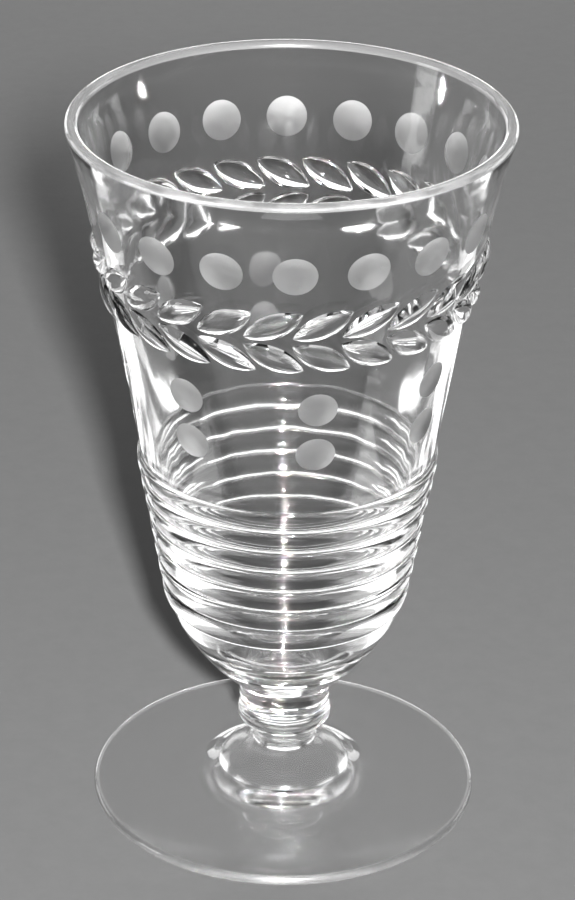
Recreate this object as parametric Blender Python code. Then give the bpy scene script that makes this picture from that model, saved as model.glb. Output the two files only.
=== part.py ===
"""Footed juice glass in clear glass.

Four gathers of glass stand on one another: the foot, a short waisted stem, a ring collar and the bowl.
Every piece is turned round the Z axis. The bowl's wall then carries a raised laurel of two leaf rows, and
shallow round dots cut into it: one row under the lip, and upright pairs above the rings.
Lengths are in metres, +Z is up, the foot rests at Z = 0 and the front of the glass faces -Y.
"""

import math

import bmesh
import bpy
from mathutils import Vector
from mathutils.geometry import interpolate_bezier

# The whole glass, from the foot's underside to the lip
HEIGHT = 0.1140

# Foot: a thin disc that swells into a low boss under the stem
FOOT_RADIUS = 0.0303
FOOT_EDGE = 0.0016
FOOT_RISE = 0.0044
FOOT_SKIRT_RADIUS = 0.0155
FOOT_SKIRT_RISE = 0.0026
FOOT_HOLLOW_RADIUS = 0.0200
FOOT_HOLLOW_DEPTH = 0.0006

# Stem: a short waist that spreads into a dome where it meets the foot
STEM_HEIGHT = 0.0074
STEM_TOP_RADIUS = 0.0058
STEM_WAIST_RADIUS = 0.0048
STEM_WAIST_DROP = 0.0016
STEM_BASE_RADIUS = 0.0104
STEM_DOME_RISE = 0.0028

# Collar: a ring with a full round edge
COLLAR_RADIUS = 0.0074
COLLAR_HEIGHT = 0.0026
COLLAR_ROUND = 0.0011

# Bowl, from its button upwards
NECK_RADIUS = 0.0071
NECK_HEIGHT = 0.0043
BASE_HEIGHT = 0.0151
BASE_SHOULDER = 0.0063
BASE_TURN_IN = 0.0011
RING_COUNT = 7
RING_PITCH = 0.0037
RING_RELIEF = 0.0007
RING_FOOT_RADIUS = 0.0180
SHOULDER_RADIUS = 0.0224
WALL_BOW = 0.0005
RIM_RADIUS = 0.0331

# Rows of ornament up the wall: the pitch of the two rows of dots in the pairs and of the two rows of leaves,
# and the shares of the wall's remaining height that lie under the pairs, the laurel and the top dots
PAIR_PITCH = 0.0079
LAUREL_PITCH = 0.0055
SHARE_UNDER_PAIRS = 0.2625
SHARE_UNDER_LAUREL = 0.2275
SHARE_UNDER_DOTS = 0.215

# Laurel leaves, raised from the wall, and how far their edges run into its glass
LEAF_COUNT = 25
LEAF_LENGTH = 0.0092
LEAF_WIDTH = 0.0041
LEAF_RELIEF = 0.0010
LEAF_LEAN = math.radians(27)
LEAF_TURN = math.radians(9.8)
LEAF_EMBED = 0.0002
LEAF_KEEL = 0.0006

# Round dots, cut into the wall: a dished floor, deepest in the middle, inside a crisp edge
DOT_DEPTH = 0.0005
DOT_EDGE_DEPTH = 0.0003
DOT_COUNT = 18
DOT_RADIUS = 0.00325
DOT_TURN = math.radians(1.5)
PAIR_COUNT = 8
PAIR_DOT_RADIUS = 0.00295
PAIR_TURN = math.radians(9.7)
DOT_BEVEL = 0.00015

# Thickness of the bowl's glass, from the floor inside to the lip
FLOOR_THICKNESS = 0.0050
RING_FOOT_THICKNESS = 0.0028
SHOULDER_THICKNESS = 0.0022
LIP_THICKNESS = 0.0020

# Gap left between two gathers where they are fused
FUSE_GAP = 0.0003

# Fineness of the round forms
ROUND_FACETS = 48
RING_FACETS = 4
CURVE_FACETS = 6
WALL_FACETS = 4
EDGE_FACETS = 4
LEAF_FACETS = 4
LEAF_CROSS_FACETS = 4
DOT_FACETS = 16
WELD_DISTANCE = 0.000001
SMOOTH_ANGLE = math.radians(40)

# Levels of the stacked pieces
STEM_BOTTOM = FOOT_RISE + FUSE_GAP
STEM_TOP = STEM_BOTTOM + STEM_HEIGHT
COLLAR_BOTTOM = STEM_TOP + FUSE_GAP
COLLAR_TOP = COLLAR_BOTTOM + COLLAR_HEIGHT
BOWL_BOTTOM = COLLAR_TOP + FUSE_GAP
NECK_TOP = BOWL_BOTTOM + NECK_HEIGHT
RING_FOOT = NECK_TOP + BASE_HEIGHT
SHOULDER = RING_FOOT + RING_COUNT * RING_PITCH
WALL_HEIGHT = HEIGHT - SHOULDER
BLANK_HEIGHT = WALL_HEIGHT - PAIR_PITCH - LAUREL_PITCH
LOWER_PAIR_DOTS = SHOULDER + SHARE_UNDER_PAIRS * BLANK_HEIGHT
UPPER_PAIR_DOTS = LOWER_PAIR_DOTS + PAIR_PITCH
LOWER_LEAVES = UPPER_PAIR_DOTS + SHARE_UNDER_LAUREL * BLANK_HEIGHT
UPPER_LEAVES = LOWER_LEAVES + LAUREL_PITCH
TOP_DOTS = UPPER_LEAVES + SHARE_UNDER_DOTS * BLANK_HEIGHT


def clear_scene():
    """Remove every object, so that the model starts from nothing."""
    for thing in list(bpy.data.objects):
        bpy.data.objects.remove(thing, do_unlink=True)


def clear_glass(name):
    """Make the colourless glass of one piece."""
    finish = bpy.data.materials.new(name)
    finish.use_nodes = True
    shader = finish.node_tree.nodes["Principled BSDF"]
    shader.inputs["Base Color"].default_value = (0.96, 0.97, 0.97, 1.0)
    shader.inputs["Metallic"].default_value = 0.0
    shader.inputs["Roughness"].default_value = 0.02
    shader.inputs["IOR"].default_value = 1.52
    shader.inputs["Transmission Weight"].default_value = 1.0
    return finish


def curve(start, start_handle, end_handle, end, facets):
    """Points of a curve after its start, as (radius, height)."""
    knots = [Vector(point) for point in (start, start_handle, end_handle, end)]
    return [tuple(point) for point in interpolate_bezier(*knots, facets + 1)[1:]]


def arc(centre, radius, rise, start, end, facets):
    """Points of a round or oval arc, from one angle to another, as (radius, height)."""
    points = []
    for facet in range(facets + 1):
        angle = start + (end - start) * facet / facets
        points.append((centre[0] + radius * math.cos(angle), centre[1] + rise * math.sin(angle)))
    return points


def turned(name, profile):
    """Turn a profile round the axis. It runs from the axis, down the outside and back to the axis."""
    shape = bmesh.new()
    points = [shape.verts.new((radius, 0.0, height)) for radius, height in profile]
    edges = [shape.edges.new(pair) for pair in zip(points, points[1:])]
    bmesh.ops.spin(
        shape,
        geom=points + edges,
        cent=(0.0, 0.0, 0.0),
        axis=(0.0, 0.0, 1.0),
        angle=math.tau,
        steps=ROUND_FACETS,
        use_merge=True,
    )
    bmesh.ops.remove_doubles(shape, verts=shape.verts, dist=WELD_DISTANCE)
    piece = placed(name, shape)
    piece.data.materials.append(clear_glass(name))
    return piece


def placed(name, shape):
    """Put a finished shape into the scene as an object, with smooth rounds and sharp corners."""
    bmesh.ops.recalc_face_normals(shape, faces=shape.faces)
    mesh = bpy.data.meshes.new(name)
    shape.to_mesh(mesh)
    shape.free()
    mesh.shade_smooth()
    mesh.set_sharp_from_angle(angle=SMOOTH_ANGLE)
    piece = bpy.data.objects.new(name, mesh)
    bpy.context.collection.objects.link(piece)
    return piece


def foot_profile():
    """Boss, sloping disc, round edge, flat resting ring and a slight hollow underneath."""
    edge_radius = FOOT_EDGE / 2
    edge_centre = (FOOT_RADIUS - edge_radius, edge_radius)
    boss_edge = (STEM_BASE_RADIUS, FOOT_RISE)
    skirt = (FOOT_SKIRT_RADIUS, FOOT_SKIRT_RISE)
    skirt_reach = (FOOT_SKIRT_RADIUS - STEM_BASE_RADIUS) / 2
    points = [(0.0, FOOT_RISE), boss_edge]
    points += curve(
        boss_edge,
        (STEM_BASE_RADIUS + skirt_reach / 2, (FOOT_RISE + FOOT_SKIRT_RISE) / 2),
        (FOOT_SKIRT_RADIUS - skirt_reach, FOOT_SKIRT_RISE),
        skirt,
        CURVE_FACETS,
    )
    points += arc(edge_centre, edge_radius, edge_radius, math.pi / 2, -math.pi / 2, EDGE_FACETS)
    hollow_edge = (FOOT_HOLLOW_RADIUS, 0.0)
    points.append(hollow_edge)
    points += curve(
        hollow_edge,
        (FOOT_HOLLOW_RADIUS * 2 / 3, FOOT_HOLLOW_DEPTH),
        (FOOT_HOLLOW_RADIUS / 3, FOOT_HOLLOW_DEPTH),
        (0.0, FOOT_HOLLOW_DEPTH),
        CURVE_FACETS,
    )
    return points


def stem_profile():
    """Flat top, drawn-in waist and a domed spread down to the foot's boss."""
    waist_level = STEM_TOP - STEM_WAIST_DROP
    dome_level = STEM_BOTTOM + STEM_DOME_RISE
    dome_reach = (STEM_BASE_RADIUS - STEM_WAIST_RADIUS) / 4
    top_edge = (STEM_TOP_RADIUS, STEM_TOP)
    waist = (STEM_WAIST_RADIUS, waist_level)
    points = [(0.0, STEM_TOP), top_edge]
    points += curve(
        top_edge,
        (STEM_WAIST_RADIUS, STEM_TOP),
        (STEM_WAIST_RADIUS, waist_level + STEM_WAIST_DROP / 2),
        waist,
        EDGE_FACETS,
    )
    points += curve(
        waist,
        (STEM_WAIST_RADIUS, dome_level),
        (STEM_BASE_RADIUS - dome_reach, dome_level),
        (STEM_BASE_RADIUS, STEM_BOTTOM),
        CURVE_FACETS,
    )
    points.append((0.0, STEM_BOTTOM))
    return points


def collar_profile():
    """Two flat faces and a full round edge."""
    centre = (COLLAR_RADIUS - COLLAR_ROUND, (COLLAR_BOTTOM + COLLAR_TOP) / 2)
    edge = arc(centre, COLLAR_ROUND, COLLAR_HEIGHT / 2, math.pi / 2, -math.pi / 2, EDGE_FACETS)
    return [(0.0, COLLAR_TOP)] + edge + [(0.0, COLLAR_BOTTOM)]


def wall_radius(level):
    """Outside radius of the plain wall at a height, bowed in a little between its shoulder and its lip."""
    share = (level - SHOULDER) / WALL_HEIGHT
    straight = SHOULDER_RADIUS + (RIM_RADIUS - SHOULDER_RADIUS) * share
    return straight - 4 * WALL_BOW * share * (1 - share)


def wall_thickness(level):
    """Thickness of the plain wall at a height, from its shoulder to its lip."""
    share = (level - SHOULDER) / WALL_HEIGHT
    return SHOULDER_THICKNESS + (LIP_THICKNESS - SHOULDER_THICKNESS) * share


def ring_points():
    """Outside of the ring band, from its shoulder down: round rings that meet in sharp grooves."""
    points = []
    steps = RING_COUNT * RING_FACETS
    for step in range(1, steps + 1):
        share = step / steps
        groove = SHOULDER_RADIUS + (RING_FOOT_RADIUS - SHOULDER_RADIUS) * share
        swell = abs(math.sin(math.pi * step / RING_FACETS))
        points.append((groove + RING_RELIEF * swell, SHOULDER + (RING_FOOT - SHOULDER) * share))
    return points


def bowl_profile():
    """Inside from the floor up, over the lip, then down the wall, the rings, the base and the button."""
    floor = NECK_TOP + FLOOR_THICKNESS
    ring_foot_inside = RING_FOOT_RADIUS - RING_FOOT_THICKNESS
    taper = (SHOULDER_RADIUS - RING_FOOT_RADIUS) / (RING_COUNT * RING_PITCH)
    points = [(0.0, floor)]
    points += curve(
        (0.0, floor),
        (ring_foot_inside * 2 / 3, floor),
        (ring_foot_inside - taper * BASE_SHOULDER, RING_FOOT - BASE_SHOULDER),
        (ring_foot_inside, RING_FOOT),
        CURVE_FACETS,
    )
    lip_radius = LIP_THICKNESS / 2
    lip_centre = (RIM_RADIUS - lip_radius, HEIGHT - lip_radius)
    wall_levels = [SHOULDER + WALL_HEIGHT * step / WALL_FACETS for step in range(WALL_FACETS)]
    points += [(wall_radius(level) - wall_thickness(level), level) for level in wall_levels]
    points += arc(lip_centre, lip_radius, lip_radius, math.pi, 0.0, EDGE_FACETS)
    points += [(wall_radius(level), level) for level in reversed(wall_levels)]
    points += ring_points()
    points += curve(
        (RING_FOOT_RADIUS, RING_FOOT),
        (RING_FOOT_RADIUS - taper * BASE_SHOULDER, RING_FOOT - BASE_SHOULDER),
        (NECK_RADIUS + BASE_TURN_IN, NECK_TOP),
        (NECK_RADIUS, NECK_TOP),
        CURVE_FACETS,
    )
    points += [(NECK_RADIUS, BOWL_BOTTOM), (0.0, BOWL_BOTTOM)]
    return points


def on_wall(turn, level, across, up, lift):
    """A point on the wall, set off sideways, up and out from a place at a turn from the front."""
    angle = turn + across / wall_radius(level)
    radius = wall_radius(level + up) + lift
    return (radius * math.sin(angle), -radius * math.cos(angle), level + up)


def add_rings(shape, rings):
    """Skin a shape over rings of points in order. A ring of one point closes an end."""
    corners = [[shape.verts.new(point) for point in ring] for ring in rings]
    for lower, upper in zip(corners, corners[1:]):
        count = max(len(lower), len(upper))
        for index in range(count):
            after = (index + 1) % count
            around = [lower[index % len(lower)], lower[after % len(lower)]]
            around += [upper[after % len(upper)], upper[index % len(upper)]]
            shape.faces.new(list(dict.fromkeys(around)))


def add_leaf(shape, turn, level, lean):
    """Add one leaf: an almond outline with a domed back and a keel inside the wall's glass."""
    rings = []
    for facet in range(LEAF_FACETS + 1):
        along = 2 * facet / LEAF_FACETS - 1
        fullness = 1 - along * along
        section = []
        for cross in range(LEAF_CROSS_FACETS + 1):
            side = 2 * cross / LEAF_CROSS_FACETS - 1
            crest = (LEAF_RELIEF + LEAF_EMBED) * math.sqrt(fullness) * (1 - side * side)
            section.append((side * fullness * LEAF_WIDTH / 2, crest - LEAF_EMBED))
        section.append((0.0, -LEAF_EMBED - LEAF_KEEL * fullness))
        if fullness == 0:
            section = section[:1]
        ring = []
        for aside, lift in section:
            forward = along * LEAF_LENGTH / 2
            across = forward * math.cos(lean) - aside * math.sin(lean)
            up = forward * math.sin(lean) + aside * math.cos(lean)
            ring.append(on_wall(turn, level, across, up, lift))
        rings.append(ring)
    add_rings(shape, rings)


def add_dot(shape, turn, level, radius):
    """Add the cutter of one dot: a dished floor, a steep bevel up through the wall's face and a flat cap."""
    rings = [[on_wall(turn, level, 0.0, 0.0, -DOT_DEPTH)]]
    for reach, lift in [(radius - DOT_BEVEL, -DOT_EDGE_DEPTH), (radius + DOT_BEVEL, DOT_EDGE_DEPTH)]:
        ring = []
        for facet in range(DOT_FACETS):
            angle = math.tau * facet / DOT_FACETS
            ring.append(on_wall(turn, level, reach * math.cos(angle), reach * math.sin(angle), lift))
        rings.append(ring)
    rings.append([on_wall(turn, level, 0.0, 0.0, DOT_EDGE_DEPTH)])
    add_rings(shape, rings)


def turns(count, first):
    """Even turns round the glass, the first at a turn from the front."""
    return [first + math.tau * index / count for index in range(count)]


def laurel():
    """Two rows of leaves that lean apart, upwards in the upper row and downwards in the lower."""
    shape = bmesh.new()
    for turn in turns(LEAF_COUNT, LEAF_TURN):
        add_leaf(shape, turn, UPPER_LEAVES, LEAF_LEAN)
        add_leaf(shape, turn, LOWER_LEAVES, -LEAF_LEAN)
    return placed("laurel_form", shape)


def dots():
    """One row of dots under the lip, and pairs of smaller ones above the rings."""
    shape = bmesh.new()
    for turn in turns(DOT_COUNT, DOT_TURN):
        add_dot(shape, turn, TOP_DOTS, DOT_RADIUS)
    for turn in turns(PAIR_COUNT, PAIR_TURN):
        add_dot(shape, turn, LOWER_PAIR_DOTS, PAIR_DOT_RADIUS)
        add_dot(shape, turn, UPPER_PAIR_DOTS, PAIR_DOT_RADIUS)
    return placed("dot_cutters", shape)


def ornament(bowl, name, operation, form):
    """Raise or cut an ornament on the bowl, and keep its form as a hidden guide."""
    form.hide_render = True
    form.display_type = "WIRE"
    boolean = bowl.modifiers.new(name, "BOOLEAN")
    boolean.operation = operation
    boolean.object = form
    boolean.solver = "EXACT"


def main():
    """Build the four pieces from the foot up, then ornament the bowl."""
    clear_scene()
    turned("foot", foot_profile())
    turned("stem", stem_profile())
    turned("collar", collar_profile())
    bowl = turned("bowl", bowl_profile())
    ornament(bowl, "Laurel", "UNION", laurel())
    ornament(bowl, "Dots", "DIFFERENCE", dots())


main()
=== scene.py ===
"""Footed juice glass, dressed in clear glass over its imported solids.

Four gathers of glass stand fused on one another: the foot, a waisted stem, a ring collar and the
bowl. Each one is turned again here at full fineness, as a closed piece in place of its solid. The
bowl's wall carries a raised laurel of two leaf rows, and round dots that are cut into it and left
frosted. Lengths are in metres, +Z is up, the foot rests at Z = 0, and the front faces -Y.
"""

import logging
import math
from contextlib import contextmanager
from dataclasses import dataclass, field
from enum import Enum
from typing import Callable, Iterator

import bmesh
import bpy
from mathutils import Matrix, Vector
from mathutils.geometry import interpolate_bezier

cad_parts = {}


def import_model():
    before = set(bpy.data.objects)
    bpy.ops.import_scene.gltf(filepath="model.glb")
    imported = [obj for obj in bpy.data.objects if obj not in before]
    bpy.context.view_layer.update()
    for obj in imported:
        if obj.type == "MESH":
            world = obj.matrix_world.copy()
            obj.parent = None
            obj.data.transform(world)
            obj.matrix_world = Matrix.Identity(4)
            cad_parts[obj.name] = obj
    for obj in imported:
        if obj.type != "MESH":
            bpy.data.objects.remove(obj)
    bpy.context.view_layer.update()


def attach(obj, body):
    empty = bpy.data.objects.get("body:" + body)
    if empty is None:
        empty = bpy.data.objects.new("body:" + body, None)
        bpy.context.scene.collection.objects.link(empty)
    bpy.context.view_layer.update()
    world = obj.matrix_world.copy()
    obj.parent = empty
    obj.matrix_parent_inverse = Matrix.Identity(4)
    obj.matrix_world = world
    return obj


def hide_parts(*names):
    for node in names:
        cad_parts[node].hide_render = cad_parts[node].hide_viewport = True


LOG = logging.getLogger("juice_glass")
Point = tuple[float, float]
Place = tuple[float, float, float]
Colour = tuple[float, float, float, float]
Values = dict[str, float | Colour | Place]
Piece = bpy.types.Object
Material = bpy.types.Material
Tree = bpy.types.NodeTree
Node = bpy.types.ShaderNode
Socket = bpy.types.NodeSocket
FaceTest = Callable[[bmesh.types.BMFace], bool]

FRAME_HEIGHT = 900
SENSOR_SIZE = 36.0
ROOT_BODY = "root"
QUARTER_TURN = math.pi / 2

# A profile starts from a small square drawn together to a point
SEED_SIZE = 0.002
# Points closer than this are one point
MERGE_REACH = 0.000002
# How far a point may lie from a level or a radius that it belongs to
SLACK = 0.000005
# How far light panels lie above the table, and a wide one under the others
PANEL_LIFT = 0.0006
LOW_PANEL_LIFT = 0.0005


class Gather(Enum):
    """The four gathers of glass, each named as its solid is."""

    FOOT = "foot"
    STEM = "stem"
    COLLAR = "collar"
    BOWL = "bowl"

    @property
    def slot(self) -> str:
        """The record's material slot for this gather."""
        return f"{self.value}_glass"


class Work(Enum):
    """How an ornament is worked into the wall, as the Boolean that does it."""

    RAISED = "UNION"
    CUT = "DIFFERENCE"


class Lean(Enum):
    """Which way the leaves of a row lean, seen from outside and read from left to right."""

    UP = 1.0
    DOWN = -1.0


class Reach(Enum):
    """What a lamp is for: everything, the paper's light alone, or what shows in the glass alone."""

    ALL = "all"
    PAPER = "paper"
    GLASS = "glass"


# Work by hand in Blender


def start_alone() -> None:
    """Leave edit mode and deselect everything."""
    if bpy.context.object is not None and bpy.context.object.mode != "OBJECT":
        bpy.ops.object.mode_set(mode="OBJECT")
    bpy.ops.object.select_all(action="DESELECT")


def pick(piece: Piece) -> None:
    """Select one piece alone and make it the active one.

    Args:
        piece: The piece.
    """
    start_alone()
    piece.select_set(True)
    bpy.context.view_layer.objects.active = piece


@contextmanager
def editing(piece: Piece) -> Iterator[None]:
    """Open one piece alone in edit mode with nothing selected, and close it again.

    Args:
        piece: The piece.

    Yields:
        Nothing, while the piece is open.
    """
    pick(piece)
    bpy.ops.object.mode_set(mode="EDIT")
    bpy.ops.mesh.select_mode(type="VERT")
    bpy.ops.mesh.select_all(action="DESELECT")
    yield
    bpy.ops.object.mode_set(mode="OBJECT")


def select_faces(piece: Piece, test: FaceTest) -> None:
    """Select the faces of a piece in edit mode that pass a test.

    Args:
        piece: The piece that is open in edit mode.
        test: Says whether a face is wanted.
    """
    bpy.ops.mesh.select_mode(type="FACE")
    shape = bmesh.from_edit_mesh(piece.data)
    for face in shape.faces:
        face.select_set(test(face))
    bmesh.update_edit_mesh(piece.data)


def select_points(piece: Piece, test: Callable[[Vector], bool]) -> None:
    """Select the points of a piece in edit mode whose place passes a test.

    Args:
        piece: The piece that is open in edit mode.
        test: Says whether a place is wanted.
    """
    bpy.ops.mesh.select_mode(type="VERT")
    shape = bmesh.from_edit_mesh(piece.data)
    for point in shape.verts:
        point.select_set(test(point.co))
    shape.select_flush(False)
    bmesh.update_edit_mesh(piece.data)


def curve(
    start: Point, start_handle: Point, end_handle: Point, end: Point, *, facets: int
) -> list[Point]:
    """Points of a drawn curve after its start, as (radius, height).

    Args:
        start: Where the curve starts.
        start_handle: Handle of the start.
        end_handle: Handle of the end.
        end: Where the curve ends.
        facets: How many straight steps the curve has.

    Returns:
        The points, without the start.
    """
    knots = [Vector((*point, 0.0)) for point in (start, start_handle, end_handle, end)]
    return [(point.x, point.y) for point in interpolate_bezier(*knots, facets + 1)[1:]]


def arc(
    centre: Point, radius: float, rise: float, start: float, end: float, *, facets: int
) -> list[Point]:
    """Points of a round or oval arc from one angle to another, as (radius, height).

    Args:
        centre: Centre of the arc.
        radius: Reach of the arc sideways.
        rise: Reach of the arc upwards.
        start: First angle, from level outwards.
        end: Last angle.
        facets: How many straight steps the arc has.

    Returns:
        The points, both ends among them.
    """
    angles = [start + (end - start) * facet / facets for facet in range(facets + 1)]
    return [
        (centre[0] + radius * math.cos(angle), centre[1] + rise * math.sin(angle))
        for angle in angles
    ]


def grey(level: float) -> Colour:
    """A colourless shade."""
    return (level, level, level, 1.0)


# Shared effects


def set_values(node: Node, values: Values) -> None:
    """Set inputs of a node to plain values."""
    for label, value in values.items():
        node.inputs[label].default_value = value


def add_node(tree: Tree, kind: str, at: Point, values: Values | None = None) -> Node:
    """Add a node to a material or a group.

    Args:
        tree: The node tree.
        kind: The node's type.
        at: Its place in the editor.
        values: Plain values of its inputs.

    Returns:
        The new node.
    """
    made = tree.nodes.new(kind)
    made.location = at
    set_values(made, values or {})
    return made


class EffectGroup:
    """A shader node group that several finishes share, with its own inputs and outputs."""

    def __init__(self, name: str, inputs: dict[str, float], outputs: tuple[str, ...]) -> None:
        """Make an empty group.

        Args:
            name: Name of the group.
            inputs: Value inputs and their usual settings.
            outputs: Value outputs.
        """
        self.tree = bpy.data.node_groups.new(name, "ShaderNodeTree")
        face = self.tree.interface
        for label, usual in inputs.items():
            socket = face.new_socket(label, in_out="INPUT", socket_type="NodeSocketFloat")
            socket.default_value = usual
        for label in outputs:
            face.new_socket(label, in_out="OUTPUT", socket_type="NodeSocketFloat")
        self.start = add_node(self.tree, "NodeGroupInput", (-900, 0))
        self.end = add_node(self.tree, "NodeGroupOutput", (700, 0))

    def link(self, source: Socket, target: Socket) -> None:
        """Link one socket to another."""
        self.tree.links.new(source, target)

    def place(self, at: Point) -> Socket:
        """Add a Texture Coordinate node and take the place on the piece from it."""
        return add_node(self.tree, "ShaderNodeTexCoord", at).outputs["Object"]

    def math(self, operation: str, at: Point, *terms: Socket | float) -> Socket:
        """Add a Math node.

        Args:
            operation: What the node does.
            at: Its place in the editor.
            *terms: Sockets or plain numbers that it works on.

        Returns:
            The node's output.
        """
        made = add_node(self.tree, "ShaderNodeMath", at)
        made.operation = operation
        for index, term in enumerate(terms):
            if isinstance(term, float):
                made.inputs[index].default_value = term
            else:
                self.link(term, made.inputs[index])
        return made.outputs[0]

    def noise(self, at: Point, place: Socket, values: Values) -> Node:
        """Add a Noise Texture node.

        Args:
            at: Its place in the editor.
            place: The coordinates that it reads.
            values: Plain values of its inputs.

        Returns:
            The new node.
        """
        made = add_node(self.tree, "ShaderNodeTexNoise", at, values)
        self.link(place, made.inputs["Vector"])
        return made


def glass_ripple() -> EffectGroup:
    """Slow waves of glass that was worked hot, drawn out upwards, with a finer wobble over them.

    Returns:
        The effect, which gives a height.
    """
    upward_scale = 0.35
    fineness = 4.3
    group = EffectGroup("glass_ripple", {"Wave Size": 90.0, "Wobble": 0.25}, ("Height",))
    drawn = add_node(
        group.tree, "ShaderNodeMapping", (-900, 300), {"Scale": (1.0, 1.0, upward_scale)}
    )
    group.link(group.place((-1100, 300)), drawn.inputs["Vector"])
    wave_size = group.start.outputs["Wave Size"]
    slow = group.noise((-500, 300), drawn.outputs["Vector"], {"Detail": 1.0, "Roughness": 0.4})
    group.link(wave_size, slow.inputs["Scale"])
    fine_size = group.math("MULTIPLY", (-700, 0), wave_size, fineness)
    fine = group.noise((-500, 0), drawn.outputs["Vector"], {"Detail": 0.0})
    group.link(fine_size, fine.inputs["Scale"])
    wobble = group.math("MULTIPLY", (-250, 0), fine.outputs["Fac"], group.start.outputs["Wobble"])
    height = group.math("ADD", (0, 200), slow.outputs["Fac"], wobble)
    group.link(height, group.end.inputs["Height"])
    return group


def handling_marks() -> EffectGroup:
    """Faint haze in patches, where a glass has been wiped and held.

    Returns:
        The effect, which gives a roughness.
    """
    edge_softness = 0.16
    group = EffectGroup(
        "handling_marks",
        {"Clear": 0.0, "Hazed": 0.05, "Patch Size": 70.0, "Spread": 0.62},
        ("Roughness",),
    )
    given = group.start.outputs
    smear = {"Detail": 4.0, "Roughness": 0.6, "Distortion": 0.8}
    patch = group.noise((-600, 300), group.place((-900, 300)), smear)
    group.link(given["Patch Size"], patch.inputs["Scale"])
    haze = add_node(group.tree, "ShaderNodeMapRange", (100, 200))
    haze.interpolation_type = "SMOOTHSTEP"
    group.link(patch.outputs["Fac"], haze.inputs["Value"])
    group.link(given["Spread"], haze.inputs["From Min"])
    top = group.math("ADD", (-300, 0), given["Spread"], edge_softness)
    group.link(top, haze.inputs["From Max"])
    group.link(given["Clear"], haze.inputs["To Min"])
    group.link(given["Hazed"], haze.inputs["To Max"])
    group.link(haze.outputs["Result"], group.end.inputs["Roughness"])
    return group


def ground_grain() -> EffectGroup:
    """Fine grain of a cut that a wheel left unpolished, and a slow change of its depth.

    Returns:
        The effect, which gives a height and a roughness.
    """
    group = EffectGroup(
        "ground_grain",
        {"Grain Size": 3800.0, "Least Roughness": 0.4, "Most Roughness": 0.6},
        ("Height", "Roughness"),
    )
    given = group.start.outputs
    place = group.place((-900, 300))
    grain = group.noise((-500, 300), place, {"Detail": 3.0, "Roughness": 0.7})
    group.link(given["Grain Size"], grain.inputs["Scale"])
    slow = group.noise((-500, 0), place, {"Scale": 420.0})
    depth = add_node(
        group.tree, "ShaderNodeMapRange", (0, 0), {"From Min": 0.3, "From Max": 0.7}
    )
    group.link(slow.outputs["Fac"], depth.inputs["Value"])
    group.link(given["Least Roughness"], depth.inputs["To Min"])
    group.link(given["Most Roughness"], depth.inputs["To Max"])
    group.link(grain.outputs["Fac"], group.end.inputs["Height"])
    group.link(depth.outputs["Result"], group.end.inputs["Roughness"])
    return group


@dataclass
class Effects:
    """The effects that the finishes share, each built once."""

    ripple: EffectGroup = field(default_factory=glass_ripple)
    marks: EffectGroup = field(default_factory=handling_marks)
    grain: EffectGroup = field(default_factory=ground_grain)


# Finishes


def glass_values(tint: Colour, bend: float, clearness: float) -> Values:
    """Plain values of a glass shader.

    Args:
        tint: Colour of the light that passes.
        bend: How strongly it bends light.
        clearness: How much of the light it lets through.

    Returns:
        The shader's inputs and their values.
    """
    return {
        "Base Color": tint,
        "Metallic": 0.0,
        "IOR": bend,
        "Transmission Weight": clearness,
    }


def new_finish(name: str, values: Values) -> tuple[Material, Tree, Node]:
    """Make a material with its shader's plain values set.

    Args:
        name: Name of the material.
        values: Values that are the same all over the surface.

    Returns:
        The material, its node tree and its Principled shader.
    """
    finish = bpy.data.materials.new(name)
    finish.use_nodes = True
    tree = finish.node_tree
    shader = tree.nodes["Principled BSDF"]
    set_values(shader, values)
    return finish, tree, shader


def place_group(tree: Tree, group: EffectGroup, at: Point, values: Values) -> Node:
    """Place a shared effect in a material with its own values.

    Args:
        tree: The material's node tree.
        group: The effect.
        at: Its place in the editor.
        values: Settings of its inputs.

    Returns:
        The group's node.
    """
    made = add_node(tree, "ShaderNodeGroup", at)
    made.node_tree = group.tree
    set_values(made, values)
    return made


def raise_height(
    tree: Tree, shader: Node, height: Socket, strength: float, distance: float
) -> None:
    """Turn a height into the shader's normal.

    Args:
        tree: The material's node tree.
        shader: The shader that takes the normal.
        height: Where the height comes from.
        strength: How strongly it shows.
        distance: How high the height's full step is.
    """
    bump = add_node(tree, "ShaderNodeBump", (-250, -300))
    set_values(bump, {"Strength": strength, "Distance": distance})
    tree.links.new(height, bump.inputs["Height"])
    tree.links.new(bump.outputs["Normal"], shader.inputs["Normal"])


@dataclass(frozen=True)
class LampShare:
    """How much lamplight passes a face of glass, and less as the light comes in along the face."""

    facing: float = 1.0
    edge: float = 0.85
    dims_from: float = 0.45
    dims_to: float = 0.95
    blend: float = 0.35


def let_lamps_through(tree: Tree, shader: Node, share: LampShare) -> None:
    """Let lamplight through a glass to what is behind it.

    Args:
        tree: The material's node tree.
        shader: The glass shader.
        share: How much of the light passes.
    """
    weight = add_node(tree, "ShaderNodeLayerWeight", (-250, 700), {"Blend": share.blend})
    shade = add_node(tree, "ShaderNodeMapRange", (0, 700))
    set_values(shade, {"From Min": share.dims_from, "From Max": share.dims_to})
    set_values(shade, {"To Min": share.facing, "To Max": share.edge})
    passing = add_node(tree, "ShaderNodeBsdfTransparent", (250, 600))
    path = add_node(tree, "ShaderNodeLightPath", (250, 900))
    choice = add_node(tree, "ShaderNodeMixShader", (500, 500))
    output = tree.nodes["Material Output"]
    output.location = (750, 400)
    tree.links.new(weight.outputs["Facing"], shade.inputs["Value"])
    tree.links.new(shade.outputs["Result"], passing.inputs["Color"])
    tree.links.new(path.outputs["Is Shadow Ray"], choice.inputs["Fac"])
    tree.links.new(shader.outputs["BSDF"], choice.inputs[1])
    tree.links.new(passing.outputs["BSDF"], choice.inputs[2])
    tree.links.new(choice.outputs["Shader"], output.inputs["Surface"])


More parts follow.
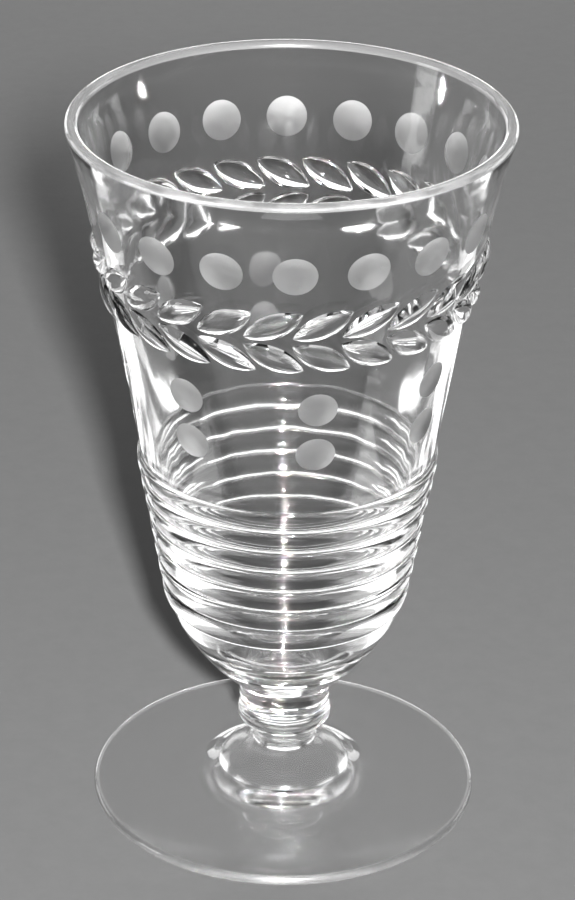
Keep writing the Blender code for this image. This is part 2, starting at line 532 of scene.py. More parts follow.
@dataclass(frozen=True)
class ClearGlass:
    """Colourless polished glass, with the slow waves of hot work and faint haze from handling."""

    name: str
    tint: Colour = grey(0.92)
    bend: float = 1.52
    clearness: float = 1.0
    wave_size: float = 95.0
    wave_height: float = 0.00003
    wobble: float = 0.2
    polish: float = 0.05
    haze: float = 0.08
    gloss: float = 0.0
    lamp_share: LampShare = LampShare()

    def make(self, effects: Effects) -> Material:
        """Build the material.

        Args:
            effects: The effects that finishes share.

        Returns:
            The material.
        """
        values = glass_values(self.tint, self.bend, self.clearness)
        finish, tree, shader = new_finish(self.name, values | {"Coat Weight": self.gloss})
        haze = {"Clear": self.polish, "Hazed": self.haze}
        marks = place_group(tree, effects.marks, (-550, 100), haze)
        tree.links.new(marks.outputs["Roughness"], shader.inputs["Roughness"])
        waves = {"Wave Size": self.wave_size, "Wobble": self.wobble}
        ripple = place_group(tree, effects.ripple, (-550, -300), waves)
        height = ripple.outputs["Height"]
        raise_height(tree, shader, height, strength=1.0, distance=self.wave_height)
        let_lamps_through(tree, shader, self.lamp_share)
        return finish


@dataclass(frozen=True)
class WornGlassWithPaintedHighlight(ClearGlass):
    """Clear glass at an edge that is finely rubbed by use and still glossy, with a painted
    highlight: its lowered clearness leaves a diffuse white share that stands in for the bright band
    of light the edge shows.
    """

    # Clearness below 1 gives a diffuse white share: a painted highlight on the rubbed edge.
    clearness: float = 0.85
    polish: float = 0.25
    haze: float = 0.32
    gloss: float = 0.6


@dataclass(frozen=True)
class FrostedCut:
    """The ground surface of a dot, left unpolished, which scatters what is behind it."""

    name: str = "frosted_dot"
    tint: Colour = grey(0.4)
    bend: float = 1.52
    clearness: float = 0.92
    grain_height: float = 0.00002
    grain_strength: float = 0.6
    lamp_share: LampShare = LampShare(facing=0.7, edge=0.2)

    def make(self, effects: Effects) -> Material:
        """Build the material.

        Args:
            effects: The effects that finishes share.

        Returns:
            The material.
        """
        values = glass_values(self.tint, self.bend, self.clearness)
        finish, tree, shader = new_finish(self.name, values)
        grain = place_group(tree, effects.grain, (-550, 0), {})
        tree.links.new(grain.outputs["Roughness"], shader.inputs["Roughness"])
        height = grain.outputs["Height"]
        raise_height(tree, shader, height, self.grain_strength, self.grain_height)
        let_lamps_through(tree, shader, self.lamp_share)
        return finish


@dataclass(frozen=True)
class FusedFace:
    """The face where two gathers have run into one. Light crosses it as if it weren't there."""

    name: str = "fused_face"

    def make(self) -> Material:
        """Build the material.

        Returns:
            The material.
        """
        values = glass_values(grey(1.0), bend=1.0, clearness=1.0)
        finish, tree, shader = new_finish(self.name, values | {"Roughness": 0.0})
        let_lamps_through(tree, shader, LampShare(edge=1.0))
        return finish


@dataclass(frozen=True)
class TablePaper:
    """Plain grey paper under the glass, with a little tooth."""

    name: str = "table_paper"
    low: Colour = grey(0.235)
    high: Colour = grey(0.275)
    dullness: float = 0.9
    sheen: float = 0.2
    tooth_size: float = 240.0
    tooth_strength: float = 0.3
    tooth_height: float = 0.0002

    def make(self) -> Material:
        """Build the material.

        Returns:
            The material.
        """
        values = {"Roughness": self.dullness, "Specular IOR Level": self.sheen}
        finish, tree, shader = new_finish(self.name, values)
        place = add_node(tree, "ShaderNodeTexCoord", (-900, 0))
        tooth = add_node(tree, "ShaderNodeTexNoise", (-700, 0))
        set_values(tooth, {"Scale": self.tooth_size, "Detail": 6.0, "Roughness": 0.7})
        shade = add_node(tree, "ShaderNodeMix", (-250, 100))
        shade.data_type = "RGBA"
        set_values(shade, {"A": self.low, "B": self.high})
        tree.links.new(place.outputs["Object"], tooth.inputs["Vector"])
        tree.links.new(tooth.outputs["Fac"], shade.inputs["Factor"])
        tree.links.new(shade.outputs["Result"], shader.inputs["Base Color"])
        raise_height(tree, shader, tooth.outputs["Fac"], self.tooth_strength, self.tooth_height)
        return finish


# Pieces


@dataclass
class FuseLevels:
    """Where the gathers have run into one another, halfway across the gaps between their solids."""

    stem_on_foot: float = 0.00455
    collar_on_stem: float = 0.01225
    bowl_on_collar: float = 0.01515
    foot_face_radius: float = 0.0104
    stem_face_radius: float = 0.0058
    collar_face_radius: float = 0.0063


@dataclass(kw_only=True)
class TurnedPiece:
    """A piece that is turned round the upright axis from a drawn profile."""

    gather: Gather
    fuse: FuseLevels
    turns: int = 216
    crease: float = math.radians(28)
    polish: float = 0.05
    haze_over_polish: float = 0.03

    @property
    def name(self) -> str:
        """The piece's name in the scene."""
        return f"clear_{self.gather.value}"

    def profile(self) -> list[Point]:
        """The piece's outline from the axis, round the outside and back to the axis."""
        raise NotImplementedError

    def fused_faces(self) -> list[tuple[float, float]]:
        """Height and radius of each flat face that is fused to a neighbour."""
        raise NotImplementedError

    def turn(self) -> Piece:
        """Draw the profile point by point and spin it round the axis.

        Returns:
            The turned piece.
        """
        start_alone()
        bpy.ops.mesh.primitive_plane_add(size=SEED_SIZE)
        piece = bpy.context.object
        piece.name = piece.data.name = self.name
        with editing(piece):
            bpy.ops.mesh.select_all(action="SELECT")
            bpy.ops.mesh.merge(type="CENTER")
            points = self.profile()
            bpy.ops.transform.translate(value=(points[0][0], 0.0, points[0][1]))
            for before, after in zip(points, points[1:]):
                step = (after[0] - before[0], 0.0, after[1] - before[1])
                bpy.ops.mesh.extrude_region_move(TRANSFORM_OT_translate={"value": step})
            bpy.ops.mesh.select_all(action="SELECT")
            bpy.ops.mesh.spin(
                steps=self.turns, angle=math.tau, center=(0.0, 0.0, 0.0), axis=(0.0, 0.0, 1.0)
            )
            bpy.ops.mesh.select_all(action="SELECT")
            bpy.ops.mesh.remove_doubles(threshold=MERGE_REACH)
            bpy.ops.mesh.normals_make_consistent(inside=False)
        return piece

    def assign(self, piece: Piece, finish: Material, test: FaceTest) -> None:
        """Give one finish to the faces that pass a test.

        Args:
            piece: The piece.
            finish: The material, in a new slot of the piece.
            test: Says whether a face gets it.
        """
        piece.data.materials.append(finish)
        with editing(piece):
            select_faces(piece, test)
            piece.active_material_index = len(piece.data.materials) - 1
            bpy.ops.object.material_slot_assign()

    def dress(self, piece: Piece, clear: Material, fused: Material) -> None:
        """Give the piece its clear glass, and its fused faces theirs.

        Args:
            piece: The turned piece.
            clear: Finish of its outside.
            fused: Finish of the faces fused to a neighbour.
        """
        piece.data.materials.append(clear)
        faces = self.fused_faces()

        def is_fused(face: bmesh.types.BMFace) -> bool:
            """Whether a face lies in one of the fused planes, inside its radius.

            Args:
                face: A face of the piece.

            Returns:
                True where it does.
            """
            return any(
                all(
                    abs(point.co.z - level) < SLACK and point.co.xy.length < radius + SLACK
                    for point in face.verts
                )
                for level, radius in faces
            )

        self.assign(piece, fused, is_fused)

    def clear_glass(self) -> ClearGlass:
        """Finish of the piece's outside."""
        haze = self.polish + self.haze_over_polish
        return ClearGlass(f"{self.gather.value}_clear", polish=self.polish, haze=haze)

    def wear_and_paint_highlight(self, piece: Piece, effects: Effects) -> None:
        """Give the piece its rubbed edge and the painted highlight on it, if it has one."""

    def decorate(self, piece: Piece, effects: Effects) -> list[Material]:
        """Work in the piece's ornaments, if it has any, and say what their finishes are."""
        return []

    def smooth(self, piece: Piece) -> None:
        """Shade the rounds smooth and keep the corners sharp."""
        pick(piece)
        bpy.ops.object.shade_smooth_by_angle(angle=self.crease)

    def sharpen(self, piece: Piece, finishes: list[Material]) -> None:
        """Keep the outlines of the ornaments sharp.

        Args:
            piece: The piece.
            finishes: Finishes whose outlines are kept.
        """
        for finish in finishes:
            index = piece.data.materials.find(finish.name)
            with editing(piece):
                select_faces(piece, lambda face, wanted=index: face.material_index == wanted)
                bpy.ops.mesh.region_to_loop()
                bpy.ops.mesh.mark_sharp()

    def settle(self, piece: Piece) -> None:
        """Put the finished piece on its body, in place of its solid.

        Args:
            piece: The piece.
        """
        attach(piece, ROOT_BODY)
        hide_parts(self.gather.value)
        LOG.info("%s: %d faces", piece.name, len(piece.data.polygons))

    def build(self, effects: Effects, fused: Material) -> None:
        """Turn, dress, decorate and settle the piece.

        Args:
            effects: The effects that finishes share.
            fused: Finish of the fused faces.
        """
        piece = self.turn()
        self.dress(piece, self.clear_glass().make(effects), fused)
        self.wear_and_paint_highlight(piece, effects)
        ornaments = self.decorate(piece, effects)
        self.smooth(piece)
        self.sharpen(piece, ornaments)
        self.settle(piece)


@dataclass(kw_only=True)
class Foot(TurnedPiece):
    """A thin disc that swells into a low boss under the stem."""

    gather: Gather = Gather.FOOT
    polish: float = 0.08
    radius: float = 0.0303
    edge: float = 0.0016
    skirt_radius: float = 0.0155
    skirt_rise: float = 0.0026
    resting_width: float = 0.0040
    hollow_radius: float = 0.0200
    hollow_depth: float = 0.0006

    def fused_faces(self) -> list[tuple[float, float]]:
        """The boss's flat top."""
        return [(self.fuse.stem_on_foot, self.fuse.foot_face_radius)]

    def wear_and_paint_highlight(self, piece: Piece, effects: Effects) -> None:
        """Give the round edge the fine roughness of being set down, and a painted highlight as a
        diffuse white share.

        Args:
            piece: The foot.
            effects: The effects that finishes share.
        """
        start = self.radius - self.edge / 2 - SLACK
        # The edge's finish paints a highlight into it, as a diffuse white share.
        self.assign(
            piece,
            WornGlassWithPaintedHighlight("foot_worn_painted_highlight").make(effects),
            lambda face: all(point.co.xy.length > start for point in face.verts),
        )

    def profile(self) -> list[Point]:
        """Boss, sloping disc, round edge, flat resting ring and a slight hollow underneath.

        Returns:
            The outline's points.
        """
        top = self.fuse.stem_on_foot
        boss = self.fuse.foot_face_radius
        reach = (self.skirt_radius - boss) / 2
        edge_radius = self.edge / 2
        edge_centre = (self.radius - edge_radius, edge_radius)
        points = [(0.0, top), (boss, top)]
        points += curve(
            (boss, top),
            (boss + reach / 2, (top + self.skirt_rise) / 2),
            (self.skirt_radius - reach, self.skirt_rise),
            (self.skirt_radius, self.skirt_rise),
            facets=20,
        )
        slope = (self.skirt_rise - self.edge) / (self.radius - self.skirt_radius)
        run = edge_centre[0] - self.skirt_radius
        points += curve(
            (self.skirt_radius, self.skirt_rise),
            (self.skirt_radius + run / 3, self.skirt_rise - slope * run / 6),
            (edge_centre[0] - run / 3, self.edge + slope * run / 3),
            (edge_centre[0], self.edge),
            facets=14,
        )
        points += arc(
            edge_centre, edge_radius, edge_radius, QUARTER_TURN, -QUARTER_TURN, facets=18
        )[1:]
        points.append((self.hollow_radius + self.resting_width, 0.0))
        points.append((self.hollow_radius, 0.0))
        points += curve(
            (self.hollow_radius, 0.0),
            (self.hollow_radius * 2 / 3, self.hollow_depth),
            (self.hollow_radius / 3, self.hollow_depth),
            (0.0, self.hollow_depth),
            facets=20,
        )
        return points


@dataclass(kw_only=True)
class Stem(TurnedPiece):
    """A short waist that spreads into a dome on the foot's boss."""

    gather: Gather = Gather.STEM
    polish: float = 0.16
    waist_radius: float = 0.0048
    waist_drop: float = 0.0016
    dome_rise: float = 0.0028

    def fused_faces(self) -> list[tuple[float, float]]:
        """The flat top and the underside.

        Returns:
            Height and radius of each.
        """
        return [
            (self.fuse.collar_on_stem, self.fuse.stem_face_radius),
            (self.fuse.stem_on_foot, self.fuse.foot_face_radius),
        ]

    def profile(self) -> list[Point]:
        """Flat top, drawn-in waist and a domed spread down to the boss.

        Returns:
            The outline's points.
        """
        top, bottom = self.fuse.collar_on_stem, self.fuse.stem_on_foot
        base = self.fuse.foot_face_radius
        top_edge = (self.fuse.stem_face_radius, top)
        waist = (self.waist_radius, top - self.waist_drop)
        dome = bottom + self.dome_rise
        points = [(0.0, top), top_edge]
        points += curve(
            top_edge,
            (self.waist_radius, top),
            (self.waist_radius, waist[1] + self.waist_drop / 2),
            waist,
            facets=14,
        )
        points += curve(
            waist,
            (self.waist_radius, dome),
            (base - (base - self.waist_radius) / 4, dome),
            (base, bottom),
            facets=24,
        )
        points.append((0.0, bottom))
        return points


@dataclass(kw_only=True)
class Collar(TurnedPiece):
    """A ring with a full round edge between the stem and the bowl."""

    gather: Gather = Gather.COLLAR
    radius: float = 0.0074

    def fused_faces(self) -> list[tuple[float, float]]:
        """The flat top, and the part of the underside that the stem covers.

        Returns:
            Height and radius of each.
        """
        return [
            (self.fuse.bowl_on_collar, self.fuse.collar_face_radius),
            (self.fuse.collar_on_stem, self.fuse.stem_face_radius),
        ]

    def profile(self) -> list[Point]:
        """Two flat faces and a full round edge.

        Returns:
            The outline's points.
        """
        top, bottom = self.fuse.bowl_on_collar, self.fuse.collar_on_stem
        face = self.fuse.collar_face_radius
        centre = (face, (top + bottom) / 2)
        reach, rise = self.radius - face, (top - bottom) / 2
        edge = arc(centre, reach, rise, QUARTER_TURN, -QUARTER_TURN, facets=24)
        return [(0.0, top)] + edge + [(self.fuse.stem_face_radius, bottom), (0.0, bottom)]


@dataclass(frozen=True)
class DotRow:
    """A row of round cuts, whose first dot is turned a little from the front."""

    radius: float
    level: float
    count: int
    first: float


@dataclass(kw_only=True)
class Bowl(TurnedPiece):
    """The bowl, from its button up: base, seven rings, and a wall with laurel and frosted dots."""

    gather: Gather = Gather.BOWL
    height: float = 0.1140
    neck_radius: float = 0.0071
    neck_top: float = 0.0196
    neck_round: float = 0.0008
    base_shoulder: float = 0.0063
    base_turn_in: float = 0.0011
    ring_foot: float = 0.0347
    ring_foot_radius: float = 0.0180
    ring_count: int = 7
    ring_relief: float = 0.0008
    ring_facets: int = 18
    shoulder: float = 0.0606
    shoulder_radius: float = 0.0224
    wall_bow: float = 0.0005
    wall_steps: int = 18
    rim_radius: float = 0.0331
    floor_thickness: float = 0.0050
    ring_foot_thickness: float = 0.0028
    shoulder_thickness: float = 0.0022
    lip_thickness: float = 0.0020
    wave_height: float = 0.0001
    lamp_share: LampShare = LampShare(facing=0.84, edge=0.05, dims_from=0.0, dims_to=0.4)

    leaf_count: int = 25
    leaf_length: float = 0.0096
    leaf_width: float = 0.0044
    leaf_half_depth: float = 0.0015
    leaf_sunk: float = 0.0005
    leaf_lean: float = math.radians(27)
    leaf_turn: float = math.radians(9.8)
    leaf_rows: tuple[tuple[float, Lean], ...] = ((0.0936, Lean.UP), (0.0881, Lean.DOWN))
    leaf_facets: int = 20
    leaf_taper: float = 0.32
    leaf_dome: float = 0.12
    leaf_wave_size: float = 260.0

    dot_depth: float = 0.00045
    dot_reach: float = 0.0030
    wheel_facets: int = 56
    wheel_rings: int = 44
    wheel_top: float = -0.55
    dot_rows: tuple[DotRow, ...] = (
        DotRow(radius=0.00325, level=0.1022, count=18, first=math.radians(1.5)),
        DotRow(radius=0.00295, level=0.0711, count=8, first=math.radians(9.7)),
        DotRow(radius=0.00295, level=0.0790, count=8, first=math.radians(9.7)),
    )

    def fused_faces(self) -> list[tuple[float, float]]:
        """The button's underside."""
        return [(self.fuse.bowl_on_collar, self.fuse.collar_face_radius)]

    def share(self, level: float) -> float:
        """How far up the wall a level is, from 0 at its shoulder to 1 at its lip."""
        return (level - self.shoulder) / (self.height - self.shoulder)

    def wall_radius(self, level: float) -> float:
        """Outside radius of the wall at a level, bowed in a little on its way up.

        Args:
            level: Height on the wall.

        Returns:
            The radius.
        """
        share = self.share(level)
        straight = self.shoulder_radius + (self.rim_radius - self.shoulder_radius) * share
        return straight - 4 * self.wall_bow * share * (1 - share)

    def wall_thickness(self, level: float) -> float:
        """Thickness of the wall at a level."""
        change = self.lip_thickness - self.shoulder_thickness
        return self.shoulder_thickness + change * self.share(level)

    def wall_slope(self, level: float) -> float:
        """How much the wall's outside radius grows for each metre up.

        Args:
            level: Height on the wall.

        Returns:
            The growth.
        """
        rise = self.height - self.shoulder
        straight = (self.rim_radius - self.shoulder_radius) / rise
        return straight - 4 * self.wall_bow * (1 - 2 * self.share(level)) / rise

    def rings(self) -> list[Point]:
        """Outside of the ring band, from its shoulder down: full rounds that meet in grooves.

        Returns:
            The outline's points, without the first one.
        """
        narrowing = self.ring_foot_radius - self.shoulder_radius
        fall = self.ring_foot - self.shoulder
        points = []
        for ring in range(self.ring_count):
            for facet in range(1, self.ring_facets + 1):
                angle = math.pi * facet / self.ring_facets
                share = (ring + (1 - math.cos(angle)) / 2) / self.ring_count
                groove = self.shoulder_radius + narrowing * share
                level = self.shoulder + fall * share
                points.append((groove + self.ring_relief * math.sin(angle), level))
        return points

    def profile(self) -> list[Point]:
        """Inside from the floor up, over the lip, and down wall, rings, base and button.

        Returns:
            The outline's points.
        """
        floor = self.neck_top + self.floor_thickness
        inside = self.ring_foot_radius - self.ring_foot_thickness
        taper = (self.shoulder_radius - self.ring_foot_radius) / (self.shoulder - self.ring_foot)
        below = self.ring_foot - self.base_shoulder
        drop = taper * self.base_shoulder
        points = [(0.0, floor)]
        points += curve(
            (0.0, floor),
            (inside * 2 / 3, floor),
            (inside - drop, below),
            (inside, self.ring_foot),
            facets=24,
        )
        lip = self.lip_thickness / 2
        top = self.height - lip
        rise = top - self.shoulder
        levels = [
            self.shoulder + rise * step / self.wall_steps for step in range(self.wall_steps)
        ]
        points += [
            (self.wall_radius(level) - self.wall_thickness(level), level) for level in levels
        ]
        points += arc((self.rim_radius - lip, top), lip, lip, math.pi, 0.0, facets=18)
        points += [(self.wall_radius(level), level) for level in reversed(levels)]
        points += self.rings()
        points += curve(
            (self.ring_foot_radius, self.ring_foot),
            (self.ring_foot_radius - drop, below),
            (self.neck_radius + self.base_turn_in, self.neck_top),
            (self.neck_radius, self.neck_top),
            facets=26,
        )
        bottom = self.fuse.bowl_on_collar
        points += arc(
            (self.neck_radius - self.neck_round, bottom + self.neck_round),
            self.neck_round,
            self.neck_round,
            0.0,
            -QUARTER_TURN,
            facets=8,
        )
        points.append((0.0, bottom))
        return points

    def on_wall(self, turn: float, level: float, lift: float) -> Matrix:
        """A place on the wall.

        Args:
            turn: Turn round the axis from the front, to the right.
            level: Height on the wall.
            lift: How far it stands out from the wall.

        Returns:
            A matrix with X along the wall, Y up it and Z out of it.
        """
        along = Vector((math.cos(turn), math.sin(turn), 0.0))
        outward = Vector((math.sin(turn), -math.cos(turn), 0.0))
        up = (outward * self.wall_slope(level) + Vector((0.0, 0.0, 1.0))).normalized()
        normal = along.cross(up)
        place = outward * self.wall_radius(level) + Vector((0.0, 0.0, level)) + normal * lift
        axes = Matrix((along, up, normal)).transposed().to_4x4()
        return Matrix.Translation(place) @ axes

    def leaf(self, finish: Material) -> Piece:
        """Model one leaf, an almond with a domed back, lying along X.

        Args:
            finish: Finish of the leaf.

        Returns:
            The leaf.
        """
        near = 0.001
        facets = self.leaf_facets
        start_alone()
        bpy.ops.mesh.primitive_uv_sphere_add(
            segments=facets, ring_count=facets, radius=1.0, rotation=(0.0, QUARTER_TURN, 0.0)
        )
        leaf = bpy.context.object
        leaf.name = "leaf"
        bpy.ops.object.transform_apply(location=False, rotation=True, scale=False)
        with editing(leaf):
            for ring in range(1, facets):
                along = math.cos(math.pi * ring / facets)
                select_points(leaf, lambda place, x=along: abs(place.x - x) < near)
                fullness = 1 - along * along
                narrow = (1.0, fullness**self.leaf_taper, fullness**self.leaf_dome)
                bpy.ops.transform.resize(value=narrow, center_override=(0.0, 0.0, 0.0))
            bpy.ops.mesh.select_all(action="SELECT")
            size = (self.leaf_length / 2, self.leaf_width / 2, self.leaf_half_depth)
            bpy.ops.transform.resize(value=size, center_override=(0.0, 0.0, 0.0))
        leaf.data.materials.append(finish)
        return leaf

    def dot_wheel(self, row: DotRow, finish: Material) -> Piece:
        """Model the round wheel that cuts one dot: it leaves a dished round on the curved wall.

        Args:
            row: The row that it cuts.
            finish: Finish of the cut.

        Returns:
            The wheel, with the face that cuts on -Z.
        """
        curving = self.dot_depth / row.radius**2
        wall_curving = 1 / (2 * self.wall_radius(row.level))
        across = math.sqrt(self.dot_reach / (2 * (curving - wall_curving)))
        upward = math.sqrt(self.dot_reach / (2 * curving))
        start_alone()
        bpy.ops.mesh.primitive_uv_sphere_add(
            segments=self.wheel_facets, ring_count=self.wheel_rings, radius=1.0
        )
        wheel = bpy.context.object
        wheel.name = "dot_wheel"
        with editing(wheel):
            bpy.ops.mesh.select_all(action="SELECT")
            bpy.ops.mesh.bisect(
                plane_co=(0.0, 0.0, self.wheel_top),
                plane_no=(0.0, 0.0, 1.0),
                use_fill=True,
                clear_outer=True,
            )
            bpy.ops.mesh.select_all(action="SELECT")
            bpy.ops.transform.resize(
                value=(across, upward, self.dot_reach), center_override=(0.0, 0.0, 0.0)
            )
        wheel.data.materials.append(finish)
        return wheel

    def copies(self, name: str, form: Piece, places: list[Matrix]) -> Piece:
        """Copy a form to several places on the wall and join the copies.

        Args:
            name: Name of the joined copies.
            form: The form, which is used up.
            places: Where the copies go.

        Returns:
            One object that holds all the copies.
        """
        made = []
        for place in places:
            pick(form)
            bpy.ops.object.duplicate()
            copy = bpy.context.object
            copy.matrix_world = place
            made.append(copy)
        bpy.data.objects.remove(form, do_unlink=True)
        start_alone()
        for copy in made:
            copy.select_set(True)
        bpy.context.view_layer.objects.active = made[0]
        bpy.ops.object.join()
        joined = bpy.context.object
        joined.name = name
        bpy.ops.object.transform_apply(location=True, rotation=True, scale=True)
        return joined

    def ornament(self, piece: Piece, form: Piece, work: Work) -> None:
        """Work a form into the bowl and put the form away.

        Args:
            piece: The bowl.
            form: The raised or cutting form.
            work: Whether it is raised or cut.
        """
        pick(piece)
        boolean = piece.modifiers.new(form.name, "BOOLEAN")
        boolean.operation = work.value
        boolean.solver = "EXACT"
        boolean.material_mode = "TRANSFER"
        boolean.object = form
        bpy.ops.object.modifier_apply(modifier=boolean.name)
        bpy.data.objects.remove(form, do_unlink=True)

    def raise_laurel(self, piece: Piece, finish: Material) -> None:
        """Raise the two rows of leaves, which lean apart.

        Args:
            piece: The bowl.
            finish: Finish of the leaves.
        """
        places = []
        for level, lean in self.leaf_rows:
            tilt = Matrix.Rotation(lean.value * self.leaf_lean, 4, "Z")
            for index in range(self.leaf_count):
                turn = self.leaf_turn + math.tau * index / self.leaf_count
                places.append(self.on_wall(turn, level, -self.leaf_sunk) @ tilt)
        self.ornament(piece, self.copies("laurel", self.leaf(finish), places), Work.RAISED)

    def cut_dots(self, piece: Piece, finish: Material, row: DotRow) -> None:
        """Cut one row of dots.

        Args:
            piece: The bowl.
            finish: Finish of the cuts.
            row: The row.
        """
        lift = self.dot_reach - self.dot_depth
        turns = [row.first + math.tau * index / row.count for index in range(row.count)]
        places = [self.on_wall(turn, row.level, lift) for turn in turns]
        wheels = self.copies("dots", self.dot_wheel(row, finish), places)
        self.ornament(piece, wheels, Work.CUT)

    def wear_and_paint_highlight(self, piece: Piece, effects: Effects) -> None:
        """Give the lip the fine roughness of being drunk from, and a painted highlight: a diffuse
        white share that stands in for the white band of light along the lip.

        Args:
            piece: The bowl.
            effects: The effects that finishes share.
        """
        start = self.height - self.lip_thickness / 2 - SLACK
        # Clearness 0.8 paints the lip partly white: a painted highlight for the bright rim.
        worn_with_painted_highlight = WornGlassWithPaintedHighlight("lip_worn_painted_highlight", clearness=0.8, gloss=0.8, lamp_share=self.lamp_share)
        self.assign(
            piece,
            worn_with_painted_highlight.make(effects),
            lambda face: all(point.co.z > start for point in face.verts),
        )

    def clear_glass(self) -> ClearGlass:
        """Clear glass with the stronger waves of a tall wall."""
        return ClearGlass("bowl_clear", wave_height=self.wave_height, lamp_share=self.lamp_share)

    def decorate(self, piece: Piece, effects: Effects) -> list[Material]:
        """Raise the laurel and cut the dots.

        Args:
            piece: The bowl.
            effects: The effects that finishes share.

        Returns:
            The finishes of the leaves and of the dots.
        """
        leaf_glass = ClearGlass(
            "laurel_clear", wave_size=self.leaf_wave_size, lamp_share=self.lamp_share
        )
        leaves = leaf_glass.make(effects)
        frosted = FrostedCut().make(effects)
        self.raise_laurel(piece, leaves)
        for row in self.dot_rows:
            self.cut_dots(piece, frosted, row)
        return [leaves, frosted]


# Studio


@dataclass(frozen=True)
class SoftBox:
    """A soft lamp with an evenly bright face."""

    name: str
    place: Place
    size: Point
    glow: float
    aim: Place = (0.0, 0.0, 0.05)
    reach: Reach = Reach.ALL

    def light(self) -> None:
        """Hang the lamp and turn its face to what it lights."""
        start_alone()
        bpy.ops.object.light_add(type="AREA", location=self.place)
        lamp = bpy.context.object
        lamp.name = self.name
        lamp.data.shape = "RECTANGLE"
        lamp.data.size, lamp.data.size_y = self.size
        lamp.data.energy = self.glow * math.pi * self.size[0] * self.size[1]
        lamp.visible_camera = False
        lamp.visible_diffuse = self.reach is not Reach.GLASS
        lamp.visible_glossy = lamp.visible_transmission = self.reach is not Reach.PAPER
        facing = Vector(self.aim) - Vector(self.place)
        lamp.rotation_euler = facing.to_track_quat("-Z", "Y").to_euler()


def table_panel(
    name: str,
    place: Point,
    size: Point,
    glow: float,
    reach: Reach = Reach.ALL,
    lift: float = PANEL_LIFT,
) -> SoftBox:
    """A light panel that lies on the table and faces up.

    Args:
        name: Name of the panel.
        place: Its place on the table.
        size: Its width and depth.
        glow: How bright its face is.
        reach: What it is for.
        lift: How far it is clear of the table.

    Returns:
        The panel.
    """
    return SoftBox(name, (*place, lift), size, glow, aim=(*place, 1.0), reach=reach)


def table_pair(name: str, place: Point, size: Point, glow: float) -> tuple[SoftBox, SoftBox]:
    """Two light panels on the table, one to each side of the glass.

    Args:
        name: Name of the pair.
        place: Place of the right one.
        size: Width and depth of each.
        glow: How bright their faces are.

    Returns:
        The right panel and the left one.
    """
    x, y = place
    return (
        table_panel(f"{name}_right", (x, y), size, glow),
        table_panel(f"{name}_left", (-x, y), size, glow),
    )


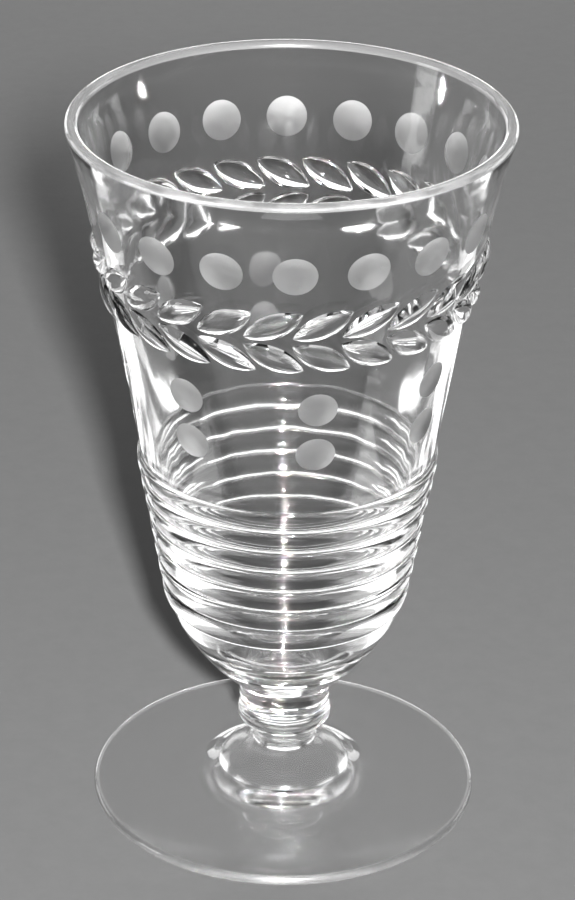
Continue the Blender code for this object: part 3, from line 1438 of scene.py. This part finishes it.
@dataclass
class Studio:
    """Floor, lamps, surroundings and camera."""

    floor_size: float = 12.0
    floor_drop: float = 0.0002
    floor_cuts: int = 8
    room_light: float = 0.03
    camera_place: Place = (0.0, -0.4592, 0.2962)
    camera_pitch: float = 0.4759
    camera_roll: float = 0.0131
    camera_near: float = 0.01
    focal_pixels: float = 3383.0
    bounces: int = 24
    glossy_bounces: int = 8
    clear_bounces: int = 32
    lamps: tuple[SoftBox, ...] = (
        SoftBox("front_lamp", (0.028, -0.48, 0.325), (0.025, 0.08), 1925.0, (0.0, 0.31, 0.80)),
        SoftBox("far_lamp", (0.0, 0.75, 0.5), (0.3, 0.3), 7.5, (0.0, 0.75, 0.0), Reach.PAPER),
        SoftBox("front_fill", (0.0, -1.7, 0.5), (2.6, 1.4), 1.0, (0.0, -1.7, 0.0), Reach.PAPER),
        SoftBox("back_strip", (0.0, 1.2, 0.14), (0.5, 0.28), 5.0),
        SoftBox("back_wall", (0.0, 0.9, 0.80), (3.0, 1.2), 0.24, reach=Reach.GLASS),
        SoftBox("back_left_card", (-0.6, 1.15, 0.14), (0.35, 0.26), 3.2, reach=Reach.GLASS),
        SoftBox("back_right_card", (0.6, 1.15, 0.14), (0.35, 0.26), 3.2, reach=Reach.GLASS),
        SoftBox("left_card", (-0.74, 0.52, 0.19), (0.40, 0.33), 2.2, reach=Reach.GLASS),
        SoftBox("right_card", (0.74, 0.52, 0.19), (0.40, 0.33), 2.2, reach=Reach.GLASS),
        SoftBox("left_window", (-0.886, -0.156, 0.20), (0.24, 0.42), 4.0, reach=Reach.GLASS),
        table_panel("back_panel", (0.0, 0.8), (0.9, 0.7), 2.0),
        table_panel("front_panel", (0.0, -0.3), (0.08, 0.3), 2.2),
        table_panel(
            "front_table", (0.0, -0.22), (1.2, 0.30), 0.45, Reach.GLASS, LOW_PANEL_LIFT
        ),
        *table_pair("near_panel", (0.06, 0.0), (0.05, 0.11), 1.8),
        *table_pair("first_streak", (0.06, 0.068), (0.05, 0.014), 2.2),
        *table_pair("second_streak", (0.06, 0.098), (0.05, 0.014), 2.2),
        *table_pair("third_streak", (0.06, 0.128), (0.05, 0.014), 2.2),
        *table_pair("outer_panel", (0.11, 0.10), (0.05, 0.05), 2.0),
    )

    def floor(self) -> None:
        """Lay the paper that the glass stands on."""
        start_alone()
        below = (0.0, 0.0, -self.floor_drop)
        bpy.ops.mesh.primitive_plane_add(size=self.floor_size, location=below)
        paper = bpy.context.object
        paper.name = "table"
        with editing(paper):
            bpy.ops.mesh.select_all(action="SELECT")
            bpy.ops.mesh.subdivide(number_cuts=self.floor_cuts)
        paper.data.materials.append(TablePaper().make())

    def surroundings(self) -> None:
        """Make the room, evenly dim."""
        world = bpy.data.worlds.new("studio")
        bpy.context.scene.world = world
        world.use_nodes = True
        set_values(world.node_tree.nodes["Background"], {"Color": grey(self.room_light)})

    def camera(self) -> None:
        """Stand the camera where the photograph was taken from."""
        start_alone()
        bpy.ops.object.camera_add(location=self.camera_place)
        camera = bpy.context.object
        camera.name = "camera"
        tilt = Matrix.Rotation(QUARTER_TURN - self.camera_pitch, 4, "X")
        roll = Matrix.Rotation(self.camera_roll, 4, "Z")
        camera.matrix_world = Matrix.Translation(self.camera_place) @ tilt @ roll
        camera.data.sensor_fit = "AUTO"
        camera.data.sensor_width = SENSOR_SIZE
        camera.data.lens = self.focal_pixels * SENSOR_SIZE / FRAME_HEIGHT
        camera.data.clip_start = self.camera_near
        bpy.context.scene.camera = camera

    def build(self) -> None:
        """Set the whole studio up."""
        scene = bpy.context.scene
        scene.view_settings.view_transform = "Standard"
        scene.cycles.max_bounces = self.bounces
        scene.cycles.transmission_bounces = self.bounces
        scene.cycles.glossy_bounces = self.glossy_bounces
        scene.cycles.transparent_max_bounces = self.clear_bounces
        scene.cycles.sample_clamp_indirect = 0.0
        scene.cycles.caustics_refractive = False
        scene.cycles.caustics_reflective = False
        self.camera()
        self.floor()
        self.surroundings()
        for lamp in self.lamps:
            lamp.light()
            LOG.info("lamp %s", lamp.name)


def main() -> None:
    """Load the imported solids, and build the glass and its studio."""
    logging.basicConfig(level=logging.INFO, format="%(name)s %(message)s")
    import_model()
    Studio().build()
    effects = Effects()
    fused = FusedFace().make()
    fuse = FuseLevels()
    pieces = (
        Foot(fuse=fuse),
        Stem(fuse=fuse),
        Collar(fuse=fuse),
        Bowl(fuse=fuse),
    )
    for piece in pieces:
        piece.build(effects, fused)


if __name__ == "__main__":
    main()
